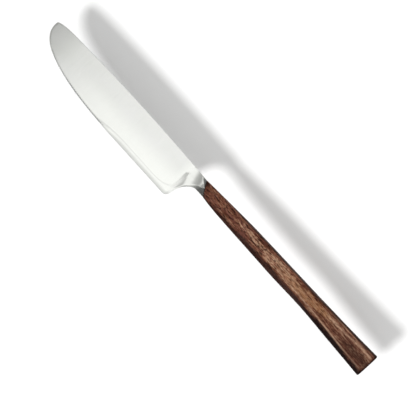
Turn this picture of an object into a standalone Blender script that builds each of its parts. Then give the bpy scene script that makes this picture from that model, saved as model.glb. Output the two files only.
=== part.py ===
"""Table knife: a forged blade with bolster and tang, cemented into a faceted wooden handle.

The knife lies on its side. +X runs from the tip to the butt, +Y towards the spine, +Z up.
The shapes are worked out from the tip, on the middle line of the handle. The empty that carries
the pieces then brings the bottom centre of the whole knife to the origin.
"""

import math

import bmesh
import bpy
from mathutils import Matrix, Vector

MM = 0.001

# Lengths along the knife
BLADE_LENGTH = 93.8 * MM
NECK_LENGTH = 9.2 * MM
HANDLE_LENGTH = 111.5 * MM

# Fits
FIT_GAP = 0.08 * MM
JOINT_CEMENT = 0.34 * MM
CEMENT_WALL = 0.5 * MM
JOINT_LEAN = -0.66

# Blade outline
NOSE_RISE = 1.35 * MM
NOSE_LENGTH = 14.0 * MM
NOSE_SWEEP = 3.3
NOSE_FULLNESS = 2.25
SPINE_CROWN = 1.07 * MM
BELLY_LENGTH = 61.5 * MM
BELLY_SWEEP = 2.58
BELLY_FULLNESS = 2.53
EDGE_DROP = 15.85 * MM
EDGE_RAKE = 0.25 * MM
HEEL_RADIUS = 2.8 * MM
THROAT_LENGTH = 6.8 * MM
THROAT_FULLNESS = 1.7

# Blade thickness, measured through both faces
SPINE_THICKNESS = 2.3 * MM
TIP_THICKNESS = 1.5 * MM
TIP_TAPER = 0.6 * MM
TIP_TAPER_RUN = 18.0 * MM
HEEL_EDGE_THICKNESS = 0.67 * MM
EDGE_LIP = 0.3 * MM
EDGE_HONE = 0.25 * MM
SPINE_CHAMFER = 0.5 * MM

# Soft bevel along the plain part of the edge
BEVEL_WIDTH = 2.95 * MM
BEVEL_CREASE = 0.9 * MM
BEVEL_START = 41.0 * MM
BEVEL_RUN = 24.0 * MM
BEVEL_SWEEP = 2.4
BEVEL_FADE = 14.0 * MM
BAND_THICKNESS = 0.54 * MM
BAND_SLOPE = 0.09
BAND_LIFT_SETBACK = 0.5 * MM
BAND_LIFT_RADIUS = 4.0 * MM

# Plunge, where the flat grind ends before the neck
PLUNGE_SETBACK = 2.2 * MM
PLUNGE_TIP = 0.3 * MM
PLUNGE_TIP_REACH = 1.2 * MM
PLUNGE_TIP_SHIFT = 1.4 * MM
PLUNGE_TIP_ROUND = 1.6 * MM
PLUNGE_REACH = 4.7 * MM
PLUNGE_DEPTH = 6.5 * MM
PLUNGE_PEAK = 0.65
PLUNGE_POWER = 1.15
SWEEP_LENGTH = 11.0 * MM
SWEEP_RISE = 5.5 * MM
SWEEP_FULLNESS = 2.6

# Serrations of the belly
SERRATION_START = 8.6 * MM
SERRATION_END = 49.0 * MM
SERRATION_PITCH = 1.14 * MM
SERRATION_RADIUS = 0.48 * MM
SERRATION_DEPTH = 0.24 * MM

# Neck and bolster
NECK_WIDTH = 6.7 * MM
NECK_THICKNESS = 5.9 * MM
NECK_SIDE = 0.6 * MM
NECK_RISE_RUN = 5.8 * MM
NECK_RISE_PEAK = 0.66
NECK_RISE_LEAN = -0.3
NECK_RISE_SHARE = 0.6
COLLAR_RISE_RUN = 2.2 * MM
BOLSTER_RIDGE = 0.12 * MM
RICASSO_LENGTH = 1.7 * MM
RICASSO_CROWN = 0.17 * MM
RICASSO_CROWN_WIDTH = 1.5 * MM
SPINE_FACET_LENGTH = 5.4 * MM
EDGE_FACET_LENGTH = 7.0 * MM
THROAT_WALL_SHARE = 0.7

# Tang
TANG_LENGTH = 58.0 * MM
TANG_ROOT_DIAMETER = 2.6 * MM
TANG_END_DIAMETER = 2.0 * MM
TANG_SIDE = 0.16 * MM
TANG_LEAN_RUN = 3.0 * MM
TANG_END_CHAMFER = 0.4 * MM
TANG_END_ROOM = 1.6 * MM
NOTCH_COUNT = 3
NOTCH_FIRST = 22.0 * MM
NOTCH_SPACING = 10.0 * MM
NOTCH_WIDTH = 1.6 * MM
NOTCH_DEPTH = 0.22 * MM

# Handle: places along it, half widths to each side, and the facets
SHOULDER_AT = 12.0 * MM
SWELL_AT = 52.0 * MM
WAIST_AT = 68.0 * MM
FLARE_SPINE_HALF_WIDTH = 3.57 * MM
FLARE_EDGE_HALF_WIDTH = 3.68 * MM
SHOULDER_SPINE_HALF_WIDTH = 4.12 * MM
SHOULDER_EDGE_HALF_WIDTH = 4.15 * MM
GRIP_SPINE_HALF_WIDTH = 4.96 * MM
GRIP_EDGE_HALF_WIDTH = 4.5 * MM
SWELL_SPINE_HALF_WIDTH = 5.2 * MM
SWELL_EDGE_HALF_WIDTH = 4.76 * MM
WAIST_SPINE_HALF_WIDTH = 5.36 * MM
WAIST_EDGE_HALF_WIDTH = 4.57 * MM
HAUNCH_SPINE_HALF_WIDTH = 5.72 * MM
HAUNCH_EDGE_HALF_WIDTH = 5.43 * MM
BUTT_SPINE_HALF_WIDTH = 6.4 * MM
BUTT_EDGE_HALF_WIDTH = 6.4 * MM
BUTT_THICKNESS = 9.5 * MM
BUTT_SIDE = 4.7 * MM
FRONT_HALF_FLAT = 0.15 * MM
WAIST_SPINE_HALF_FLAT = 1.75 * MM
WAIST_EDGE_HALF_FLAT = 1.35 * MM
BUTT_SPINE_HALF_FLAT = 3.3 * MM
BUTT_EDGE_HALF_FLAT = 3.75 * MM
FACET_ROUNDING = 0.5 * MM
BUTT_CHAMFER = 0.7 * MM
JOINT_LEAN_RUN = 14.0 * MM

# Fineness of the meshes
FACE_STEPS = 11
BELLY_STEPS = 24
TIP_CROWDING = 2.6
HEEL_CROWDING = 1.7
STRAIGHT_STEPS = 12
HEEL_STEPS = 8
THROAT_STEPS = 14
NECK_STEPS = 5
HANDLE_STEPS = 26
BORE_SEGMENTS = 32
SERRATION_SEGMENTS = 12

# Places that follow from the sizes above
THROAT_END = BLADE_LENGTH + THROAT_LENGTH
STEEL_END = BLADE_LENGTH + NECK_LENGTH
CEMENT_FRONT = STEEL_END + FIT_GAP
CEMENT_BACK = CEMENT_FRONT + JOINT_CEMENT
WOOD_FRONT = CEMENT_BACK + FIT_GAP
BUTT_END = WOOD_FRONT + HANDLE_LENGTH
NECK_HALF_WIDTH = NECK_WIDTH / 2
PLUNGE_AT = BLADE_LENGTH - PLUNGE_SETBACK
BORE_RADIUS = TANG_ROOT_DIAMETER / 2 + CEMENT_WALL
BORE_END = STEEL_END + TANG_LENGTH + TANG_END_ROOM
FACET_SLOPE = (NECK_THICKNESS - NECK_SIDE) / NECK_WIDTH
HALF_RING_STEPS = FACE_STEPS + 3


def ease(value):
    """Smooth step from 0 to 1."""
    value = min(max(value, 0.0), 1.0)
    return value * value * (3.0 - 2.0 * value)


def quarter_curve(share, sweep, fullness):
    """Height, 0 to 1, of a quarter superellipse that starts steep and ends level."""
    share = min(max(share, 0.0), 1.0)
    return (1.0 - (1.0 - share) ** sweep) ** (1.0 / fullness)


def hollow_rise(share, peak, power):
    """Rise from 0 to 1: a hollow sweep that steepens up to the peak, then a rounded top."""
    share = min(max(share, 0.0), 1.0)
    gain = 1.0 / (peak ** (power - 1.0) * (peak + power * (1.0 - peak) / 2.0))
    if share < peak:
        return gain * share ** power
    fall = gain * power * peak ** (power - 1.0) / (2.0 * (1.0 - peak))
    return 1.0 - fall * (1.0 - share) ** 2


def flowing(places, values, at):
    """Smooth curve through a few named sizes, without overshooting them."""
    spans = [b - a for a, b in zip(places, places[1:])]
    rates = [(b - a) / span for a, b, span in zip(values, values[1:], spans)]
    slopes = [rates[0]]
    for before, after in zip(rates, rates[1:]):
        level = before * after <= 0.0
        slopes.append(0.0 if level else 2.0 * before * after / (before + after))
    slopes.append(rates[-1])
    last = len(spans) - 1
    index = next((i for i in range(last) if at < places[i + 1]), last)
    span = spans[index]
    u = min(max((at - places[index]) / span, 0.0), 1.0)
    start = (1.0 + 2.0 * u) * (1.0 - u) ** 2 * values[index]
    start += u * (1.0 - u) ** 2 * span * slopes[index]
    end = u * u * (3.0 - 2.0 * u) * values[index + 1]
    end += u * u * (u - 1.0) * span * slopes[index + 1]
    return start + end


def spine_line(x):
    """Spine of the blade in plan, with the rounded nose at the tip."""
    middle = THROAT_END / 2
    crown = NECK_HALF_WIDTH + SPINE_CROWN * (1.0 - ((x - middle) / middle) ** 2)
    if x >= NOSE_LENGTH:
        return max(crown, NECK_HALF_WIDTH)
    return NOSE_RISE + (crown - NOSE_RISE) * quarter_curve(x / NOSE_LENGTH, NOSE_SWEEP, NOSE_FULLNESS)


def cutting_line(x):
    """Cutting edge in plan, carried on past the heel."""
    belly_drop = NOSE_RISE + EDGE_DROP - EDGE_RAKE
    if x < BELLY_LENGTH:
        return NOSE_RISE - belly_drop * quarter_curve(x / BELLY_LENGTH, BELLY_SWEEP, BELLY_FULLNESS)
    run = BLADE_LENGTH - HEEL_RADIUS - BELLY_LENGTH
    return EDGE_RAKE - EDGE_DROP - EDGE_RAKE * min((x - BELLY_LENGTH) / run, 1.0)


def edge_line(x):
    """Lower outline in plan: cutting edge, heel, throat and neck."""
    heel_start = BLADE_LENGTH - HEEL_RADIUS
    heel_top = HEEL_RADIUS - EDGE_DROP
    if x <= heel_start:
        return cutting_line(x)
    if x <= BLADE_LENGTH:
        across = (x - heel_start) / HEEL_RADIUS
        return heel_top - HEEL_RADIUS * math.sqrt(max(1.0 - across * across, 0.0))
    share = (x - BLADE_LENGTH) / THROAT_LENGTH
    rise = -NECK_HALF_WIDTH - heel_top
    return heel_top + rise * quarter_curve(share, THROAT_FULLNESS, THROAT_FULLNESS)


def blade_stations():
    """Places along the blade where a section is taken, close together where it turns quickly."""
    shares = [(step / BELLY_STEPS) ** TIP_CROWDING for step in range(1, BELLY_STEPS + 1)]
    belly = [BELLY_LENGTH * share for share in shares]
    heel_start = BLADE_LENGTH - HEEL_RADIUS
    run = heel_start - BELLY_LENGTH
    left = [(1.0 - step / STRAIGHT_STEPS) ** HEEL_CROWDING for step in range(1, STRAIGHT_STEPS + 1)]
    straight = [heel_start - run * share for share in left]
    turns = [math.pi / 2 * step / HEEL_STEPS for step in range(1, HEEL_STEPS + 1)]
    heel = [heel_start + HEEL_RADIUS * math.sin(turn) for turn in turns]
    shares = [(step / THROAT_STEPS) ** 2 for step in range(1, THROAT_STEPS + 1)]
    throat = [BLADE_LENGTH + THROAT_LENGTH * share for share in shares]
    return belly + straight + heel + throat


def ground_height(x, y):
    """Half thickness left by the flat grind, which thins towards the edge and the tip."""
    to_edge = (SPINE_THICKNESS - HEEL_EDGE_THICKNESS) / 2 / (NECK_HALF_WIDTH + EDGE_DROP)
    to_tip = (SPINE_THICKNESS - TIP_THICKNESS) / 2 / BLADE_LENGTH
    height = SPINE_THICKNESS / 2 - to_edge * (NECK_HALF_WIDTH - y)
    height -= to_tip * max(BLADE_LENGTH - x, 0.0)
    height -= TIP_TAPER / 2 * max(1.0 - x / TIP_TAPER_RUN, 0.0) ** 2
    return max(height, EDGE_LIP / 2)


def bevel_reach(x):
    """Width of the soft bevel, which starts on the belly."""
    return BEVEL_WIDTH * quarter_curve((x - BEVEL_START) / BEVEL_RUN, BEVEL_SWEEP, 1.0)


def plunge_share(x, y):
    """0 on the flat grind, 1 on the bevel, the heel and the neck, which frame it."""
    start = PLUNGE_AT + PLUNGE_TIP_SHIFT * ease(1.0 + (y - PLUNGE_TIP) / PLUNGE_TIP_ROUND)
    along = max(x - start + SWEEP_LENGTH, 0.0) / SWEEP_LENGTH
    down = max(cutting_line(x) + bevel_reach(x) + SWEEP_RISE - y, 0.0) / SWEEP_RISE
    corner = (along ** SWEEP_FULLNESS + down ** SWEEP_FULLNESS) ** (1.0 / SWEEP_FULLNESS)
    if corner <= 1.0:
        return 0.0
    across_heel = (along / corner) ** (SWEEP_FULLNESS - 1.0) / SWEEP_LENGTH
    across_edge = (down / corner) ** (SWEEP_FULLNESS - 1.0) / SWEEP_RISE
    steepness = math.hypot(across_heel, across_edge)
    deep = min(max((PLUNGE_TIP - y) / PLUNGE_DEPTH, 0.0), 1.0)
    reach = PLUNGE_TIP_REACH + (PLUNGE_REACH - PLUNGE_TIP_REACH) * deep
    reach = BEVEL_CREASE + (reach - BEVEL_CREASE) * (across_heel / steepness) ** 3
    rise = hollow_rise((corner - 1.0) / steepness / reach, PLUNGE_PEAK, PLUNGE_POWER)
    return rise * ease((x - BEVEL_START) / BEVEL_FADE)


def neck_rise(x, y):
    """0 at the ricasso, 1 at the joint: a hollow sweep, and a second short rise to the joint."""
    past_start = x - BLADE_LENGTH - RICASSO_LENGTH - NECK_RISE_LEAN * y
    sweep = hollow_rise(past_start / NECK_RISE_RUN, NECK_RISE_PEAK, 2.0)
    collar = ease((x - STEEL_END + COLLAR_RISE_RUN) / COLLAR_RISE_RUN)
    return NECK_RISE_SHARE * sweep + (1.0 - NECK_RISE_SHARE) * collar


def face_height(x, y):
    """Half thickness of the side faces: the flat grind, framed by the bevel, the heel and the neck."""
    ground = ground_height(x, y)
    crown = RICASSO_CROWN * ease((PLUNGE_TIP - y) / RICASSO_CROWN_WIDTH)
    ricasso = ground_height(x, max(y, PLUNGE_TIP)) + crown
    neck = ricasso + (NECK_THICKNESS / 2 - ricasso) * neck_rise(x, y)
    band = BAND_THICKNESS / 2 + BAND_SLOPE * (y - cutting_line(x))
    band += max(x - BLADE_LENGTH + BAND_LIFT_SETBACK, 0.0) ** 2 / (2.0 * BAND_LIFT_RADIUS)
    return ground + (max(min(neck, band), ground) - ground) * plunge_share(x, y)


def facet_reach(at, lean, side, inward, wall, room):
    """How far in from one side its sloping facet runs before it meets the face."""
    reach = 0.0
    for _ in range(8):
        y = side + inward * reach
        rise = face_height(at + lean * y, y) - wall
        reach = min(max(rise / FACET_SLOPE, 0.0), room)
    return reach


def across(spine, spine_reach, edge, edge_reach):
    """Places across a section: both sides, the creases next to them, and even steps between them."""
    near = spine - spine_reach
    far = edge + edge_reach
    steps = [near + (far - near) * step / FACE_STEPS for step in range(FACE_STEPS + 1)]
    return [spine, *steps, edge + max(edge_reach - BEVEL_CREASE, edge_reach / 2), edge]


def closed_ring(top):
    """Closed section: the points over the top, then the same points back underneath."""
    return top + [(x, y, -z) for x, y, z in reversed(top)]


def forging_ring(at, lean):
    """Section of the blade or the neck, with points on its creases.

    Lean moves a point along the knife in step with its distance from the middle line.
    """
    spine = spine_line(at)
    edge = edge_line(at)
    room = (spine - edge - BOLSTER_RIDGE) / 2
    past_facets = at - STEEL_END
    spine_facet_share = ease(1.0 + past_facets / SPINE_FACET_LENGTH)
    edge_facet_share = ease(1.0 + past_facets / EDGE_FACET_LENGTH)
    spine_face = face_height(at + lean * spine, spine)
    spine_wall = spine_face - FACET_SLOPE * min(SPINE_CHAMFER, spine_face / 2)
    spine_wall += (NECK_SIDE / 2 - spine_wall) * spine_facet_share
    edge_face = face_height(at + lean * edge, edge)
    up_heel = ease((edge + EDGE_DROP) / HEEL_RADIUS) if at > BELLY_LENGTH else 0.0
    edge_wall = EDGE_LIP / 2 + (edge_face * THROAT_WALL_SHARE - EDGE_LIP / 2) * up_heel
    edge_wall += (NECK_SIDE / 2 - edge_wall) * edge_facet_share
    spine_reach = facet_reach(at, lean, spine, -1.0, spine_wall, room)
    edge_reach = facet_reach(at, lean, edge, 1.0, edge_wall, room)
    heel = ease((at - BLADE_LENGTH + HEEL_RADIUS) / HEEL_RADIUS)
    edge_reach = min(max(edge_reach, bevel_reach(at) * (1.0 - heel), EDGE_HONE), room)
    top = []
    for y in across(spine, spine_reach, edge, edge_reach):
        x = at + lean * y
        spine_facet = spine_wall + FACET_SLOPE * (spine - y)
        edge_facet = edge_wall + FACET_SLOPE * (y - edge)
        top.append((x, y, min(face_height(x, y), spine_facet, edge_facet)))
    return closed_ring(top)


def bolster_ring(at):
    """Section of the bolster on the slanting plane of the joint."""
    reach = NECK_HALF_WIDTH - BOLSTER_RIDGE / 2
    top = []
    for y in across(NECK_HALF_WIDTH, reach, -NECK_HALF_WIDTH, reach):
        z = NECK_SIDE / 2 + FACET_SLOPE * (NECK_HALF_WIDTH - abs(y))
        top.append((at + JOINT_LEAN * y, y, z))
    return closed_ring(top)


def round_ring(at, lean, radius):
    """Round section with a narrow flat at each side."""
    side = TANG_SIDE / 2
    top = []
    for step in range(HALF_RING_STEPS + 1):
        angle = math.pi * step / HALF_RING_STEPS
        y = radius * math.cos(angle)
        top.append((at + lean * y, y, side + (radius - side) * math.sin(angle)))
    return closed_ring(top)


def tang_stations():
    """Place, lean and radius along the tang, from its root on the joint to its end."""
    root = TANG_ROOT_DIAMETER / 2
    end = TANG_END_DIAMETER / 2

    def radius(along):
        return root + (end - root) * along / TANG_LENGTH

    stations = [(0.0, JOINT_LEAN, root), (TANG_LEAN_RUN, 0.0, radius(TANG_LEAN_RUN))]
    for index in range(NOTCH_COUNT):
        centre = NOTCH_FIRST + NOTCH_SPACING * index
        for share, depth in ((-0.5, 0.0), (-0.25, NOTCH_DEPTH), (0.25, NOTCH_DEPTH), (0.5, 0.0)):
            along = centre + share * NOTCH_WIDTH
            stations.append((along, 0.0, radius(along) - depth))
    stations.append((TANG_LENGTH - TANG_END_CHAMFER, 0.0, end))
    stations.append((TANG_LENGTH, 0.0, end - TANG_END_CHAMFER))
    return stations


def loft(name, rings, material, collection):
    """Skin a row of closed sections that have the same number of points, and close both ends."""
    bm = bmesh.new()
    loops = [[bm.verts.new(point) for point in points] for points in rings]
    for near, far in zip(loops, loops[1:]):
        for index in range(len(near)):
            after = (index + 1) % len(near)
            bm.faces.new((near[index], near[after], far[after], far[index]))
    bm.faces.new(loops[0])
    bm.faces.new(loops[-1])
    bmesh.ops.recalc_face_normals(bm, faces=bm.faces[:])
    return mesh_object(name, bm, material, collection)


def mesh_object(name, bm, material, collection):
    """Turn a bmesh into a smooth-shaded object with its creases kept sharp."""
    mesh = bpy.data.meshes.new(name)
    bm.to_mesh(mesh)
    bm.free()
    mesh.shade_smooth()
    mesh.set_sharp_from_angle(angle=math.radians(20.0))
    if material is not None:
        mesh.materials.append(material)
    item = bpy.data.objects.new(name, mesh)
    collection.objects.link(item)
    return item


def plain_material(name, colour, roughness, metallic):
    """Principled material with one colour."""
    material = bpy.data.materials.new(name)
    material.use_nodes = True
    shader = material.node_tree.nodes["Principled BSDF"]
    shader.inputs["Base Color"].default_value = (*colour, 1.0)
    shader.inputs["Roughness"].default_value = roughness
    shader.inputs["Metallic"].default_value = metallic
    material.diffuse_color = (*colour, 1.0)
    return material


def cut_away(item, cutter):
    """Take the cutter out of a piece."""
    cutter.hide_render = True
    cutter.display_type = "WIRE"
    boolean = item.modifiers.new(cutter.name, "BOOLEAN")
    boolean.operation = "DIFFERENCE"
    boolean.solver = "EXACT"
    boolean.object = cutter


def build_serration_cutter(collection):
    """Row of upright rods set along the belly; each leaves one scallop in the edge."""
    bm = bmesh.new()
    x = SERRATION_START
    probe = SERRATION_PITCH / 10
    while x <= SERRATION_END:
        slope = (cutting_line(x + probe) - cutting_line(x - probe)) / (2.0 * probe)
        along = Vector((1.0, slope, 0.0)).normalized()
        outward = Vector((along.y, -along.x, 0.0))
        centre = Vector((x, cutting_line(x), 0.0)) + outward * (SERRATION_RADIUS - SERRATION_DEPTH)
        bmesh.ops.create_cone(
            bm,
            cap_ends=True,
            segments=SERRATION_SEGMENTS,
            radius1=SERRATION_RADIUS,
            radius2=SERRATION_RADIUS,
            depth=NECK_THICKNESS,
            matrix=Matrix.Translation(centre),
        )
        x += SERRATION_PITCH * along.x
    return mesh_object("serration_cutter", bm, None, collection)


def build_blade(collection, cutters):
    """Blade, neck, bolster and tang as one forging, with the belly serrated."""
    rings = [forging_ring(x, 0.0) for x in blade_stations()]
    for step in range(1, NECK_STEPS):
        share = step / NECK_STEPS
        rings.append(forging_ring(THROAT_END + (STEEL_END - THROAT_END) * share, JOINT_LEAN * share))
    rings.append(bolster_ring(STEEL_END))
    for along, lean, radius in tang_stations():
        rings.append(round_ring(STEEL_END + along, lean, radius))
    steel = plain_material("satin_steel", (0.66, 0.66, 0.64), 0.3, 1.0)
    blade = loft("blade", rings, steel, collection)
    cut_away(blade, build_serration_cutter(cutters))
    return blade


def build_tang_cement(collection):
    """Cured cement: a sleeve round the tang and a thin layer across the joint."""
    tang = tang_stations()
    rings = []
    for along, lean, radius in reversed(tang):
        at = STEEL_END + along
        if not rings:
            at += FIT_GAP
        rings.append(round_ring(at, lean, radius + FIT_GAP))
    rings[-1] = round_ring(CEMENT_FRONT, JOINT_LEAN, TANG_ROOT_DIAMETER / 2 + FIT_GAP)
    rings.append(bolster_ring(CEMENT_FRONT))
    rings.append(bolster_ring(CEMENT_BACK))
    outside = BORE_RADIUS - FIT_GAP
    rings.append(round_ring(CEMENT_BACK, JOINT_LEAN, outside))
    rings.append(round_ring(CEMENT_BACK + TANG_LEAN_RUN, 0.0, outside))
    rings.append(round_ring(BORE_END - FIT_GAP, 0.0, outside))
    cement = plain_material("tang_cement", (0.24, 0.18, 0.14), 0.7, 0.0)
    return loft("tang_cement", rings, cement, collection)


def handle_half_widths(along):
    """Reach of the handle towards the spine side and towards the edge side."""
    flare_at = SHOULDER_AT / 4
    grip_at = (SHOULDER_AT + SWELL_AT) / 2
    haunch_at = (WAIST_AT + HANDLE_LENGTH) / 2
    places = (0.0, flare_at, SHOULDER_AT, grip_at, SWELL_AT, WAIST_AT, haunch_at, HANDLE_LENGTH)
    spine = (
        NECK_HALF_WIDTH,
        FLARE_SPINE_HALF_WIDTH,
        SHOULDER_SPINE_HALF_WIDTH,
        GRIP_SPINE_HALF_WIDTH,
        SWELL_SPINE_HALF_WIDTH,
        WAIST_SPINE_HALF_WIDTH,
        HAUNCH_SPINE_HALF_WIDTH,
        BUTT_SPINE_HALF_WIDTH,
    )
    edge = (
        NECK_HALF_WIDTH,
        FLARE_EDGE_HALF_WIDTH,
        SHOULDER_EDGE_HALF_WIDTH,
        GRIP_EDGE_HALF_WIDTH,
        SWELL_EDGE_HALF_WIDTH,
        WAIST_EDGE_HALF_WIDTH,
        HAUNCH_EDGE_HALF_WIDTH,
        BUTT_EDGE_HALF_WIDTH,
    )
    return flowing(places, spine, along), flowing(places, edge, along)


def handle_half_thickness(along):
    """Half thickness of the handle, which grows evenly to the butt."""
    return (NECK_THICKNESS + (BUTT_THICKNESS - NECK_THICKNESS) * along / HANDLE_LENGTH) / 2


def rounded_corners(corners):
    """Round every corner of a closed outline with a short curve of three points."""
    points = []
    for index, corner in enumerate(corners):
        for other in (corners[index - 1], corners[(index + 1) % len(corners)]):
            side = other - corner
            reach = min(FACET_ROUNDING, side.length * 0.3)
            points.append(corner + side.normalized() * reach)
        middle = points[-2] * 0.25 + corner * 0.5 + points[-1] * 0.25
        points.insert(-1, middle)
    return points


def handle_ring(along, inset):
    """Eight-sided section of the handle, drawn in by the inset."""
    spine, edge = handle_half_widths(along)
    thick = handle_half_thickness(along) - inset
    places = (0.0, WAIST_AT, HANDLE_LENGTH)
    spine_flats = (FRONT_HALF_FLAT, WAIST_SPINE_HALF_FLAT, BUTT_SPINE_HALF_FLAT)
    edge_flats = (FRONT_HALF_FLAT, WAIST_EDGE_HALF_FLAT, BUTT_EDGE_HALF_FLAT)
    spine_flat = flowing(places, spine_flats, along)
    edge_flat = flowing(places, edge_flats, along)
    side = (NECK_SIDE + (BUTT_SIDE - NECK_SIDE) * along / HANDLE_LENGTH) / 2
    spine -= inset
    edge -= inset
    lean = JOINT_LEAN * (1.0 - ease(along / JOINT_LEAN_RUN))
    top = [(spine, side), (spine_flat, thick), (-edge_flat, thick), (-edge, side)]
    corners = [Vector(corner) for corner in top]
    corners += [Vector((y, -z)) for y, z in reversed(top)]
    return [(WOOD_FRONT + along + lean * y, y, z) for y, z in rounded_corners(corners)]


def build_bore_cutter(collection):
    """Round bar that leaves the blind bore for the tang."""
    start = WOOD_FRONT - NECK_WIDTH
    turn = Matrix.Rotation(math.pi / 2, 4, "Y")
    bm = bmesh.new()
    bmesh.ops.create_cone(
        bm,
        cap_ends=True,
        segments=BORE_SEGMENTS,
        radius1=BORE_RADIUS,
        radius2=BORE_RADIUS,
        depth=BORE_END - start,
        matrix=Matrix.Translation(((start + BORE_END) / 2, 0.0, 0.0)) @ turn,
    )
    return mesh_object("bore_cutter", bm, None, collection)


def build_handle(collection, cutters):
    """One piece of wood with eight facets and a blind bore from the front."""
    body = HANDLE_LENGTH - BUTT_CHAMFER
    rings = [handle_ring(body * (step / HANDLE_STEPS) ** 1.2, 0.0) for step in range(HANDLE_STEPS + 1)]
    rings.append(handle_ring(HANDLE_LENGTH, BUTT_CHAMFER))
    wood = plain_material("oiled_hardwood", (0.19, 0.09, 0.058), 0.45, 0.0)
    handle = loft("handle", rings, wood, collection)
    cut_away(handle, build_bore_cutter(cutters))
    return handle


def knife_origin():
    """Shift that brings the bottom centre of the whole knife to the origin."""
    last = HANDLE_LENGTH - BUTT_CHAMFER
    spine_reach = max(handle_half_widths(last)[0], NECK_HALF_WIDTH + SPINE_CROWN)
    return (-BUTT_END / 2, (EDGE_DROP - spine_reach) / 2, handle_half_thickness(last))


def new_collection(name):
    collection = bpy.data.collections.new(name)
    bpy.context.scene.collection.children.link(collection)
    return collection


def build_table_knife():
    for item in list(bpy.data.objects):
        bpy.data.objects.remove(item, do_unlink=True)
    parts = new_collection("table_knife")
    cutters = new_collection("cutters")
    frame = bpy.data.objects.new("knife_frame", None)
    parts.objects.link(frame)
    build_blade(parts, cutters)
    build_tang_cement(parts)
    build_handle(parts, cutters)
    for item in list(parts.objects) + list(cutters.objects):
        if item is not frame:
            item.parent = frame
    frame.location = knife_origin()
    bpy.context.view_layer.update()


build_table_knife()
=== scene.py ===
"""Table knife: a satin steel blade forged in one with its bolster and tang, in a faceted wooden handle."""

import bisect
import math

import bmesh
import bpy
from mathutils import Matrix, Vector, noise
from mathutils.kdtree import KDTree


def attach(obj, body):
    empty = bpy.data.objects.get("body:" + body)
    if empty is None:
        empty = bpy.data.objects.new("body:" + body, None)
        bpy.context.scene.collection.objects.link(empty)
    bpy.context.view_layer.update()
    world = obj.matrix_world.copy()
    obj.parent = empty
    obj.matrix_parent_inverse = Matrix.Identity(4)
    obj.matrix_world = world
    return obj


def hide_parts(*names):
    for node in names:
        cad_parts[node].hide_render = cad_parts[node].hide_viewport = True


MM = 0.001

# Lengths along the knife, from the tip
BLADE_LENGTH = 93.8 * MM
STEEL_END = 103.0 * MM
CEMENT_FRONT = 103.01 * MM
CEMENT_BACK = 103.49 * MM
WOOD_FRONT = 103.5 * MM
BUTT_END = 215.0 * MM
HANDLE_LENGTH = BUTT_END - WOOD_FRONT
JOINT_LEAN = -0.66

# Blade outline
NOSE_RISE = 1.35 * MM
NOSE_LENGTH = 14.0 * MM
NOSE_SWEEP = 3.3
NOSE_FULLNESS = 2.25
SPINE_CROWN = 1.07 * MM
BELLY_LENGTH = 61.5 * MM
BELLY_SWEEP = 2.58
BELLY_FULLNESS = 2.53
EDGE_DROP = 15.85 * MM
EDGE_RAKE = 0.25 * MM
HEEL_RADIUS = 2.8 * MM
THROAT_LENGTH = 6.8 * MM
THROAT_FULLNESS = 1.7
THROAT_END = BLADE_LENGTH + THROAT_LENGTH

# Half thicknesses of the blade
SPINE_HEIGHT = 1.15 * MM
GRIND_TO_EDGE = 0.0426
GRIND_TO_TIP = 0.0043
TIP_TAPER = 0.3 * MM
TIP_TAPER_RUN = 18.0 * MM
LIP_HEIGHT = 0.08 * MM
NOSE_BLUNT_LENGTH = 14.0 * MM
NOSE_JOIN = 4.0 * MM
BLUNT_SHARE = 0.7
BAND_HEIGHT = 0.27 * MM
BAND_SLOPE = 0.09
BAND_LIFT_START = 93.3 * MM
BAND_LIFT_RADIUS = 4.0 * MM
LEAST_HEIGHT = 0.17 * MM
CREASE_ROUNDING = 0.16 * MM
EDGE_ROLL = 0.34 * MM
FRAME_ROUNDING = 0.35 * MM
EDGE_ROUNDING = 0.05 * MM
SPINE_SLOPE = 0.38
HONE_SLOPE = 0.3
THROAT_SLOPE = 0.6
THROAT_RIM = 0.12
SPINE_CHAMFER = 0.45 * MM

# Soft bevel along the plain edge, and the plunge that it sweeps into
BEVEL_WIDTH = 2.95 * MM
BEVEL_CREASE = 0.7 * MM
BEVEL_START = 41.0 * MM
BEVEL_RUN = 24.0 * MM
BEVEL_SWEEP = 2.4
BEVEL_FADE = 14.0 * MM
PLUNGE_AT = 91.6 * MM
PLUNGE_REACH = 4.7 * MM
PLUNGE_TIP_REACH = 1.2 * MM
PLUNGE_TIP_SHIFT = 1.4 * MM
PLUNGE_TIP_ROUND = 1.6 * MM
PLUNGE_PEAK = 0.65
PLUNGE_POWER = 1.15
PLUNGE_TIP = 0.3 * MM
PLUNGE_DEPTH = 6.5 * MM
SWEEP_LENGTH = 11.0 * MM
SWEEP_RISE = 5.5 * MM
SWEEP_FULLNESS = 2.6
SWEEP_CLEARANCE = 0.2
SWEEP_TURN = 3
RICASSO_CROWN = 0.17 * MM
RICASSO_CROWN_AT = -1.2 * MM

# Serrations of the belly
SERRATION_START = 8.6 * MM
SERRATION_END = 49.0 * MM
SERRATION_PITCH = 1.14 * MM
SERRATION_RADIUS = 0.48 * MM
SERRATION_DEPTH = 0.24 * MM
SERRATION_SLOPE = 0.85
SERRATION_PROBE = SERRATION_PITCH / 10
TOOTH_SHARE = 0.9
TEETH_FADE = 6.0

# Neck and bolster
NECK_HALF_WIDTH = 3.35 * MM
NECK_HEIGHT = 2.95 * MM
NECK_SIDE = 0.3 * MM
NECK_RISE_START = 95.5 * MM
NECK_RISE_RUN = 5.8 * MM
NECK_RISE_PEAK = 0.66
NECK_RISE_POWER = 2.0
NECK_RISE_LEAN = -0.3
NECK_RISE_SHARE = 0.6
COLLAR_RISE_RUN = 2.2 * MM
SPINE_FACET_START = 97.6 * MM
NECK_LEAN_START = 96.5 * MM
EDGE_FACET_START = 96.0 * MM
THROAT_RIM_RUN = 2.0 * MM
FACET_SLOPE = (NECK_HEIGHT - NECK_SIDE) / NECK_HALF_WIDTH

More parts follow.
